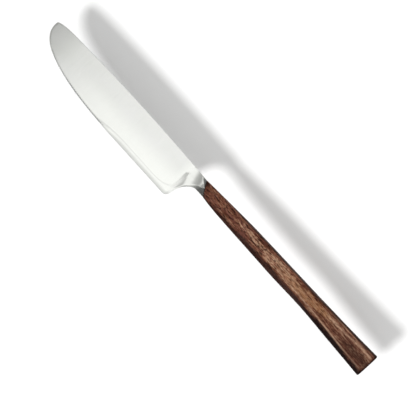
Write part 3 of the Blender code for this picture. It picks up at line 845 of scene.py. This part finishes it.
def edge_stain(point):
    """How far, in millimetres, a point lies inside the dark wood and painted shade of the edge side."""
    return (-point.y - flowing(STAIN_AND_SHADE_PLACES, EDGE_STAIN_AND_SHADE_LINES, along_handle(point))) / MM


def spine_stain(point):
    """How far, in millimetres, a point lies inside the dark wood and painted shade of the spine side."""
    return (point.y - flowing(STAIN_AND_SHADE_PLACES, SPINE_STAIN_AND_SHADE_LINES, along_handle(point))) / MM


def spine_rim(point):
    """How far, in millimetres, a point lies inside the rim of the spine side that has a painted grey
    sheen.
    """
    spine, _ = handle_half_widths(along_handle(point))
    return (point.y - spine + SPINE_RIM_SHEEN_WIDTH) / MM


def end_stain(point):
    """Dark wood with painted shade in the middle towards the butt, painted shade round the butt's end, and
    a painted shadow at the joint's spine corner.
    """
    along = along_handle(point)
    to_end = HANDLE_LENGTH - along
    middle = MIDDLE_STAIN_AND_SHADE * ease((along - MIDDLE_STAIN_AND_SHADE_START) / MIDDLE_STAIN_AND_SHADE_RUN)
    middle *= hump((point.y - MIDDLE_STAIN_AND_SHADE_ACROSS) / MIDDLE_STAIN_AND_SHADE_REACH)
    end = ease((END_SHADE_REACH - to_end) / END_SHADE_RUN)
    end *= 1.0 - (1.0 - END_FACE_SHADE) * ease(1.0 - to_end / END_FACE_REACH)
    from_joint = point.x - WOOD_FRONT - JOINT_LEAN * point.y
    corner = CORNER_SHADOW * hump(from_joint / CORNER_SHADOW_LENGTH)
    corner *= hump((point.y - CORNER_SHADOW_ACROSS) / CORNER_SHADOW_REACH)
    return max(middle, end, corner)


def pale_top(point):
    """How far, in millimetres, a point lies inside the patch worn pale on the handle's middle."""
    along = along_handle(point)
    off_middle = abs(point.y - flowing(PALE_PLACES, PALE_MIDDLES, along))
    return (flowing(PALE_PLACES, PALE_REACHES, along) - off_middle) / MM


# Ridges rubbed pale, with a painted highlight
RUB_AND_HIGHLIGHT_OUTER = 0.75 * MM
RUB_AND_HIGHLIGHT_INNER = 0.4 * MM
SPINE_RUB_AND_HIGHLIGHT_START = 79.0 * MM
SPINE_RUB_AND_HIGHLIGHT_RUN = 7.0 * MM
CREST_RUB_AND_HIGHLIGHT = 0.7
CREST_AT = 93.0 * MM
CREST_LENGTH = 7.0 * MM
CREST_ACROSS = 4.5 * MM
CREST_REACH = 0.25 * MM
EDGE_RUB_AND_HIGHLIGHT_REACH = 0.34 * MM
EDGE_RUB_AND_HIGHLIGHT_START = 52.0 * MM
EDGE_RUB_AND_HIGHLIGHT_RUN = 8.0 * MM
EDGE_RUB_AND_HIGHLIGHT_LOSS = 0.55
EDGE_RUB_AND_HIGHLIGHT_LOSS_START = 96.0 * MM
EDGE_RUB_AND_HIGHLIGHT_LOSS_RUN = 6.0 * MM
END_RUB_AND_HIGHLIGHT = 0.6
END_RUB_AND_HIGHLIGHT_AT = 1.7 * MM
END_RUB_AND_HIGHLIGHT_LENGTH = 0.3 * MM
END_RUB_AND_HIGHLIGHT_REACH = 3.0 * MM
RUB_AND_HIGHLIGHT_END = 1.3 * MM
RUB_AND_HIGHLIGHT_END_RUN = 1.0 * MM


def rubbed_ridges(point):
    """Ridges round the top facet, rubbed pale and given a painted highlight towards the butt."""
    along = along_handle(point)
    to_end = HANDLE_LENGTH - along
    spine_flat, edge_flat = handle_flats(along)
    off_spine = point.y - spine_flat
    spine = hump(off_spine / (RUB_AND_HIGHLIGHT_OUTER if off_spine > 0.0 else RUB_AND_HIGHLIGHT_INNER))
    spine *= ease((along - SPINE_RUB_AND_HIGHLIGHT_START) / SPINE_RUB_AND_HIGHLIGHT_RUN)
    crest = CREST_RUB_AND_HIGHLIGHT * hump((along - CREST_AT) / CREST_LENGTH)
    crest *= hump((point.y - CREST_ACROSS) / CREST_REACH)
    edge = hump((point.y + edge_flat) / EDGE_RUB_AND_HIGHLIGHT_REACH) * ease((along - EDGE_RUB_AND_HIGHLIGHT_START) / EDGE_RUB_AND_HIGHLIGHT_RUN)
    edge *= 1.0 - EDGE_RUB_AND_HIGHLIGHT_LOSS * ease((along - EDGE_RUB_AND_HIGHLIGHT_LOSS_START) / EDGE_RUB_AND_HIGHLIGHT_LOSS_RUN)
    end = END_RUB_AND_HIGHLIGHT * hump((to_end - END_RUB_AND_HIGHLIGHT_AT) / END_RUB_AND_HIGHLIGHT_LENGTH) * hump(point.y / END_RUB_AND_HIGHLIGHT_REACH)
    return max(max(spine, crest, edge) * ease((to_end - RUB_AND_HIGHLIGHT_END) / RUB_AND_HIGHLIGHT_END_RUN), end)


# Finishes


class Wire:
    """Output socket of a shader node. Sums and products of wires add Math nodes."""

    def __init__(self, tree, socket=None):
        self.tree = tree
        self.socket = socket

    def node(self, kind, settings, inputs, output=0):
        """Add any node: its settings first, then the values or wires of its inputs."""
        item = self.tree.nodes.new(kind)
        for name, value in settings.items():
            if name == "stops":
                set_stops(item.color_ramp, value)
            else:
                setattr(item, name, value)
        for name, value in inputs.items():
            if isinstance(value, Wire):
                self.tree.links.new(value.socket, item.inputs[name])
            else:
                item.inputs[name].default_value = value
        return Wire(self.tree, item.outputs[output])

    def math(self, operation, first, second):
        """Add a Math node on two values or wires."""
        return self.node("ShaderNodeMath", {"operation": operation}, {0: first, 1: second})

    def __add__(self, other):
        return self.math("ADD", self, other)

    def __radd__(self, other):
        return self.math("ADD", other, self)

    def __sub__(self, other):
        return self.math("SUBTRACT", self, other)

    def __rsub__(self, other):
        return self.math("SUBTRACT", other, self)

    def __mul__(self, other):
        return self.math("MULTIPLY", self, other)

    def __rmul__(self, other):
        return self.math("MULTIPLY", other, self)

    def rising(self, low, high):
        """0 below low, 1 above high, smooth between them."""
        settings = {"interpolation_type": "SMOOTHSTEP"}
        return self.node("ShaderNodeMapRange", settings, {0: self, 1: low, 2: high})

    def mix(self, first, second):
        """Colour between two colours, with this wire as the share of the second."""
        settings = {"data_type": "RGBA", "blend_type": "MIX"}
        return self.node("ShaderNodeMix", settings, {0: self, 6: first, 7: second}, 2)


def set_stops(ramp, stops):
    """Give a colour ramp its stops."""
    while len(ramp.elements) < len(stops):
        ramp.elements.new(1.0)
    for element, (place, colour) in zip(ramp.elements, stops):
        element.position = place
        element.color = colour


def tint(red, green, blue):
    """Linear colour of a display colour given as 0 to 255."""
    levels = []
    for level in (red, green, blue):
        level /= 255.0
        levels.append(level / 12.92 if level <= 0.04045 else ((level + 0.055) / 1.055) ** 2.4)
    return (*levels, 1.0)


def new_finish(name):
    """Material with its shader, a wire to build on, and its Object coordinates."""
    material = bpy.data.materials.new(name)
    material.use_nodes = True
    shader = material.node_tree.nodes["Principled BSDF"]
    wire = Wire(material.node_tree)
    place = wire.node("ShaderNodeTexCoord", {}, {}, "Object")
    return material, shader, wire, place


def streaks(wire, place, scale, detail):
    """Noise drawn out along one direction."""
    stretched = wire.node("ShaderNodeMapping", {}, {"Vector": place, "Scale": scale})
    inputs = {"Vector": stretched, "Scale": 1.0, "Detail": detail, "Roughness": 0.6}
    return wire.node("ShaderNodeTexNoise", {}, inputs)


def painted(wire, name):
    """Value written on the piece's points."""
    return wire.node("ShaderNodeAttribute", {"attribute_name": name}, {}, "Fac")


def connect(wire, shader, name):
    """Let a wire drive one of the shader's inputs."""
    wire.tree.links.new(wire.socket, shader.inputs[name])


def along_knife(wire, place):
    """Place along the knife from its middle, towards the butt."""
    return wire.node("ShaderNodeSeparateXYZ", {}, {0: place}, "X")


# Colours of the finishes
STEEL_DULL = (0.645, 0.655, 0.63, 1.0)
STEEL_CLEAR = (0.675, 0.68, 0.665, 1.0)
# Painted highlight on the steel towards the heel and the edge
STEEL_HIGHLIGHT = (0.755, 0.765, 0.735, 1.0)
# Painted shade along the steel's edge
STEEL_SHADE = (0.11, 0.12, 0.12, 1.0)
GRAIN_STOPS = (
    (0.38, tint(48, 23, 17)),
    (0.45, tint(108, 62, 48)),
    (0.52, tint(144, 94, 73)),
    (0.60, tint(196, 152, 123)),
    (0.73, tint(230, 194, 164)),
)
WOOD_BLOTCH = tint(96, 58, 34)
WOOD_ROSY = tint(132, 84, 77)
WOOD_GOLDEN = tint(182, 124, 76)
WOOD_HANDLED = tint(84, 44, 18)
# Tones of the dark wood with painted shade down the handle's sides
SPINE_STAIN_AND_SHADE_TONE = tint(44, 26, 25)
# Painted grey sheen of the spine side's rim, darker towards the butt
RIM_SHEEN_FRONT_TONE = tint(96, 80, 75)
RIM_SHEEN_BUTT_TONE = tint(68, 51, 47)
SHADED_DARK = tint(66, 34, 27)
SHADED_PALE = tint(92, 66, 60)
DEEP_STAIN_AND_SHADE_TONE = tint(20, 9, 10)
PORE_TONE = tint(46, 22, 16)
SPECK_TONE = tint(28, 13, 11)
# Pale tone of the rubbed ridges with their painted highlight
RUBBED_AND_HIGHLIGHT_TONE = tint(222, 180, 150)
# Dark wood and painted shade at the butt, and painted shadow at the joint
END_STAIN_AND_SHADE_TONE = tint(36, 18, 14)
# Cement tones, darkened with painted shade
CEMENT_DARK = tint(34, 24, 20)
CEMENT_PALE = tint(62, 48, 40)

# Noise of the finishes: cells to the metre along, across and through the knife
RUBBING_SCALE = (2600.0, 120.0, 2600.0)
CLOUD_SCALE = (70.0, 110.0, 110.0)
BAND_SCALE = (45.0, 620.0, 620.0)
THREAD_SCALE = (110.0, 1500.0, 1500.0)
FIBRE_SCALE = (160.0, 3600.0, 3600.0)
BLOTCH_SCALE = (190.0, 640.0, 640.0)
ROSY_SCALE = (150.0, 520.0, 520.0)
FLECK_SCALE = (560.0, 1700.0, 1700.0)
PATCH_SCALE = (75.0, 330.0, 330.0)
PORE_SCALE = (300.0, 2900.0, 2900.0)
SPECK_SCALE = (380.0, 1250.0, 1250.0)
MOTTLE_SCALE = (1500.0, 1500.0, 1500.0)

# Stretches over which a look comes or goes, measured from the middle of the knife
FORGED = (-16.5 * MM, -12.0 * MM)
TIP_HIGHLIGHT = (-96.0 * MM, -62.0 * MM)
HEEL_HIGHLIGHT = (-50.0 * MM, -30.0 * MM)
SPINE_HIGHLIGHT = (-20.0 * MM, -14.0 * MM)
HIGHLIGHT_ACROSS = (-6.0 * MM, 4.0 * MM)
ROSY_END = (20.0 * MM, 45.0 * MM)
GOLDEN_START = (42.0 * MM, 66.0 * MM)
HANDLED_START = (50.0 * MM, 68.0 * MM)
HANDLED_END = (78.0 * MM, 90.0 * MM)
SPINE_DARKENING_START = (12.0 * MM, 40.0 * MM)
RIM_SHEEN_START = (0.0, 25.0 * MM)
RIM_SHEEN_DARKENING = (68.0 * MM, 84.0 * MM)
DEEPENING = (50.0 * MM, 80.0 * MM)
SPECK_EASING = (38.0 * MM, 62.0 * MM)


def steel_colour(wire, place, clouds):
    """Colour of the steel: a painted highlight towards the heel and the edge, and painted shade along the
    edge.
    """
    along = along_knife(wire, place)
    across = wire.node("ShaderNodeSeparateXYZ", {}, {0: place}, "Y")
    # Painted shade along the edge and in the crease
    painted_shade = painted(wire, "edge_grime") + painted(wire, "crease_grime") * 0.15
    steel = clouds.rising(0.25, 0.75).mix(STEEL_DULL, STEEL_CLEAR)
    # Painted highlight towards the heel and the edge
    belly = along.rising(*TIP_HIGHLIGHT) * 0.9 + along.rising(*HEEL_HIGHLIGHT) * 0.1
    painted_highlight = belly * (1.0 - across.rising(*HIGHLIGHT_ACROSS) * (1.0 - along.rising(*SPINE_HIGHLIGHT)))
    return painted_shade.mix(painted_highlight.mix(steel, STEEL_HIGHLIGHT), STEEL_SHADE)


def satin_steel():
    """Satin steel: fine rubbing marks across the blade, a softer sheen on top of the neck."""
    material, shader, wire, place = new_finish("satin_steel")
    rubbing = streaks(wire, place, RUBBING_SCALE, 3.0)
    clouds = streaks(wire, place, CLOUD_SCALE, 2.0)
    forged = along_knife(wire, place).rising(*FORGED)
    softened = forged * (0.13 - painted(wire, "neck_facet") * 0.17)
    rough = 0.22 + (rubbing - 0.5) * 0.1 + (clouds - 0.5) * 0.05 + softened
    marks = {"Strength": 0.06, "Distance": 0.02 * MM, "Height": rubbing}
    shader.inputs["Metallic"].default_value = 1.0
    connect(steel_colour(wire, place, clouds), shader, "Base Color")
    connect(rough, shader, "Roughness")
    connect(wire.node("ShaderNodeBump", {}, marks), shader, "Normal")
    return material


def wood_figure(wire, place, flecks, patches):
    """Colour of the grain, worn pale on top of the handle's middle and golden behind it."""
    along = along_knife(wire, place)
    bands = streaks(wire, place, BAND_SCALE, 3.0)
    threads = streaks(wire, place, THREAD_SCALE, 2.0)
    fibres = streaks(wire, place, FIBRE_SCALE, 3.0)
    ragged = (flecks - 0.5) * 2.5 + (patches - 0.5) * 5.0
    pale_share = (painted(wire, "pale_top") + ragged).rising(-0.5, 1.2)
    grain = bands * 0.28 + threads * 0.27 + flecks * 0.33 + fibres * 0.12 + pale_share * 0.095
    wood = wire.node("ShaderNodeValToRGB", {"stops": GRAIN_STOPS}, {0: grain})
    blotches = streaks(wire, place, BLOTCH_SCALE, 2.0).rising(0.53, 0.62)
    wood = (blotches * 0.4).mix(wood, WOOD_BLOTCH)
    rosy = streaks(wire, place, ROSY_SCALE, 2.0).rising(0.48, 0.6)
    wood = (rosy * (1.0 - along.rising(*ROSY_END)) * 0.4).mix(wood, WOOD_ROSY)
    wood = (pale_share * along.rising(*GOLDEN_START) * 0.5).mix(wood, WOOD_GOLDEN)
    handled = along.rising(*HANDLED_START) * (1.0 - along.rising(*HANDLED_END))
    return (handled * 0.24).mix(wood, WOOD_HANDLED)


def stained_and_shaded_wood(wire, place, wood, flecks, patches):
    """Dark wood with painted shade down both sides of the handle, deepest towards the butt, and a painted
    grey sheen on the spine's rim.
    """
    along = along_knife(wire, place)
    ragged = (flecks - 0.5) * 4.0 + (patches - 0.5) * 3.0
    below = painted(wire, "edge_stain") + ragged
    above = painted(wire, "spine_stain") + ragged * 0.5
    spine_darkening = 0.45 + along.rising(*SPINE_DARKENING_START) * 0.43
    # Dark wood and painted shade on the spine side
    wood = (above.rising(-0.4, 0.4) * spine_darkening).mix(wood, SPINE_STAIN_AND_SHADE_TONE)
    # Painted grey sheen on the spine side's rim
    rim = painted(wire, "spine_rim").rising(0.0, 0.35) * along.rising(*RIM_SHEEN_START)
    greyed = along.rising(*RIM_SHEEN_DARKENING).mix(RIM_SHEEN_FRONT_TONE, RIM_SHEEN_BUTT_TONE)
    wood = (rim * 0.75).mix(wood, greyed)
    shaded = patches.rising(0.42, 0.6).mix(SHADED_DARK, SHADED_PALE)
    # Dark wood and painted shade on the edge side, deepest towards the butt
    wood = (below.rising(-0.4, 0.5) * 0.8).mix(wood, shaded)
    deep = below.rising(0.1, 1.0) * (0.5 + along.rising(*DEEPENING) * 0.45)
    return deep.mix(wood, DEEP_STAIN_AND_SHADE_TONE)


def oiled_hardwood():
    """Dark oiled wood: mottled grain, short dark pores, ridges rubbed pale with a painted highlight
    towards the butt.
    """
    material, shader, wire, place = new_finish("oiled_hardwood")
    flecks = streaks(wire, place, FLECK_SCALE, 2.0)
    patches = streaks(wire, place, PATCH_SCALE, 2.0)
    pores = streaks(wire, place, PORE_SCALE, 2.0).rising(0.53, 0.65)
    specks = streaks(wire, place, SPECK_SCALE, 1.0).rising(0.56, 0.66)
    specks = specks * (0.75 - along_knife(wire, place).rising(*SPECK_EASING) * 0.5)
    wood = wood_figure(wire, place, flecks, patches)
    wood = stained_and_shaded_wood(wire, place, wood, flecks, patches)
    wood = specks.mix((pores * 0.6).mix(wood, PORE_TONE), SPECK_TONE)
    # Ridges rubbed pale, with a painted highlight
    pale_share = 0.25 + patches.rising(0.35, 0.6) * 0.3 + flecks.rising(0.38, 0.6) * 0.42
    wood = (painted(wire, "rubbed_ridges") * pale_share).mix(wood, RUBBED_AND_HIGHLIGHT_TONE)
    # Dark wood and painted shade at the butt, painted shadow at the joint
    wood = painted(wire, "end_stain").mix(wood, END_STAIN_AND_SHADE_TONE)
    relief = {"Strength": 0.3, "Distance": 0.08 * MM, "Height": flecks * 0.5 - pores}
    shader.inputs["Specular IOR Level"].default_value = 0.06
    connect(wood, shader, "Base Color")
    connect(0.36 + flecks * 0.16 + pores * 0.15, shader, "Roughness")
    connect(wire.node("ShaderNodeBump", {}, relief), shader, "Normal")
    return material


def dull_cement_with_painted_shade():
    """Dull brown cement, slightly mottled, darkened with painted shade so that the joint shows as a dark
    line.
    """
    material, shader, wire, place = new_finish("tang_cement")
    mottle = streaks(wire, place, MOTTLE_SCALE, 2.0)
    connect(mottle.mix(CEMENT_DARK, CEMENT_PALE), shader, "Base Color")
    shader.inputs["Roughness"].default_value = 0.75
    return material


# Studio

FLOOR_RADIUS = 4.0
FLOOR_SEGMENTS = 96
FLOOR_SCALE = (30.0, 30.0, 30.0)
FLOOR_DARK = (0.695, 0.695, 0.695, 1.0)
FLOOR_PALE = (0.705, 0.705, 0.705, 1.0)
NO_GLOW = (0.0, 0.0, 0.0, 1.0)
WHITE_GLOW = (1.0, 1.0, 1.0, 1.0)
SOFTBOX_HEIGHT = 0.62
SOFTBOX_TIP_SIDE = -0.157
SOFTBOX_BUTT_SIDE = 1.05
SOFTBOX_DEPTH = 1.0
SOFTBOX_LEVEL = 0.82
SKY_COLOUR = (1.0, 1.0, 0.985, 1.0)
SKY_LOW = 0.08
SKY_HIGH = 0.5
SKY_RISE = (0.15, 0.75)
FLOOR_DROP = 18.0 * MM
SHADOW_ELEVATION = math.radians(52.5)
SHADOW_TURN = math.radians(7.9)
SHADOW_LEVEL = 3.0
SHADOW_SOFTNESS = math.radians(12.0)
FLOOR_GLOW = 0.11
CLIP_START = 0.01
CLIP_END = 100.0


def lay_floor():
    """Plain pale floor under the knife."""
    bm = bmesh.new()
    bmesh.ops.create_circle(bm, cap_ends=True, segments=FLOOR_SEGMENTS, radius=FLOOR_RADIUS)
    bmesh.ops.translate(bm, verts=bm.verts[:], vec=(0.0, 0.0, -FLOOR_DROP))
    mesh = bpy.data.meshes.new("floor")
    bm.to_mesh(mesh)
    bm.free()
    material, shader, wire, place = new_finish("pale_floor")
    mottle = streaks(wire, place, FLOOR_SCALE, 2.0)
    connect(mottle.mix(FLOOR_DARK, FLOOR_PALE), shader, "Base Color")
    shader.inputs["Roughness"].default_value = 1.0
    shader.inputs["Specular IOR Level"].default_value = 0.0
    seen = wire.node("ShaderNodeLightPath", {}, {}, "Is Camera Ray")
    for kind in ("Is Glossy Ray", "Is Transmission Ray"):
        seen = seen + wire.node("ShaderNodeLightPath", {}, {}, kind)
    shader.inputs["Emission Strength"].default_value = FLOOR_GLOW
    connect(seen.mix(NO_GLOW, WHITE_GLOW), shader, "Emission Color")
    mesh.materials.append(material)
    floor = bpy.data.objects.new("floor", mesh)
    bpy.context.scene.collection.objects.link(floor)
    return floor


def hang_softbox():
    """Large soft lamp over the heel and the handle; the tip lies under its edge."""
    lamp = bpy.data.lights.new("softbox", "AREA")
    lamp.shape = "RECTANGLE"
    lamp.size = SOFTBOX_BUTT_SIDE - SOFTBOX_TIP_SIDE
    lamp.size_y = SOFTBOX_DEPTH
    lamp.energy = SOFTBOX_LEVEL * math.pi * lamp.size * lamp.size_y
    item = bpy.data.objects.new("softbox", lamp)
    item.location = ((SOFTBOX_BUTT_SIDE + SOFTBOX_TIP_SIDE) / 2, 0.0, SOFTBOX_HEIGHT)
    bpy.context.scene.collection.objects.link(item)


def set_floor_lamp(floor):
    """Low soft lamp for the floor alone, which gives the shadow on the spine side."""
    lamp = bpy.data.lights.new("floor_lamp", "SUN")
    lamp.energy = SHADOW_LEVEL
    lamp.angle = SHADOW_SOFTNESS
    item = bpy.data.objects.new("floor_lamp", lamp)
    item.rotation_euler = (math.pi / 2 - SHADOW_ELEVATION, 0.0, -SHADOW_TURN)
    bpy.context.scene.collection.objects.link(item)
    lit = bpy.data.collections.new("lit_by_floor_lamp")
    lit.objects.link(floor)
    item.light_linking.receiver_collection = lit


def set_sky():
    """Dim room round the lamp: bright overhead and dark at the horizon."""
    world = bpy.data.worlds.new("studio")
    world.use_nodes = True
    wire = Wire(world.node_tree)
    direction = wire.node("ShaderNodeTexCoord", {}, {}, "Generated")
    up = wire.node("ShaderNodeSeparateXYZ", {}, {0: direction}, "Z")
    level = SKY_LOW + up.rising(*SKY_RISE) * (SKY_HIGH - SKY_LOW)
    background = world.node_tree.nodes["Background"]
    background.inputs["Color"].default_value = SKY_COLOUR
    world.node_tree.links.new(level.socket, background.inputs["Strength"])
    bpy.context.scene.world = world


def set_camera():
    """Camera straight above, as the photograph was taken."""
    data = bpy.data.cameras.new("camera")
    data.lens = LENS
    data.sensor_width = SENSOR
    data.clip_start = CLIP_START
    data.clip_end = CLIP_END
    camera = bpy.data.objects.new("camera", data)
    distance = VIEW_WIDTH * LENS / SENSOR
    camera.location = VIEW_AIM + Vector((0.0, 0.0, distance))
    camera.rotation_euler = (0.0, 0.0, VIEW_TURN)
    bpy.context.scene.collection.objects.link(camera)
    bpy.context.scene.camera = camera


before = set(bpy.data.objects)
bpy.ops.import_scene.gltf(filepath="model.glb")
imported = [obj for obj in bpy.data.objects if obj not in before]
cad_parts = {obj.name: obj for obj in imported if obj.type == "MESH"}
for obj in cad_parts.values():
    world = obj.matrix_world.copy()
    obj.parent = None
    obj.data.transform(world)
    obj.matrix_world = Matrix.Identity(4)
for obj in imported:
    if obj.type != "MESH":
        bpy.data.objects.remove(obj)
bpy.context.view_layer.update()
set_camera()
hang_softbox()
set_floor_lamp(lay_floor())
set_sky()
build_blade_steel()
build_cement_line()
build_handle_wood()
bpy.context.scene.view_settings.view_transform = "Standard"
bpy.context.view_layer.update()
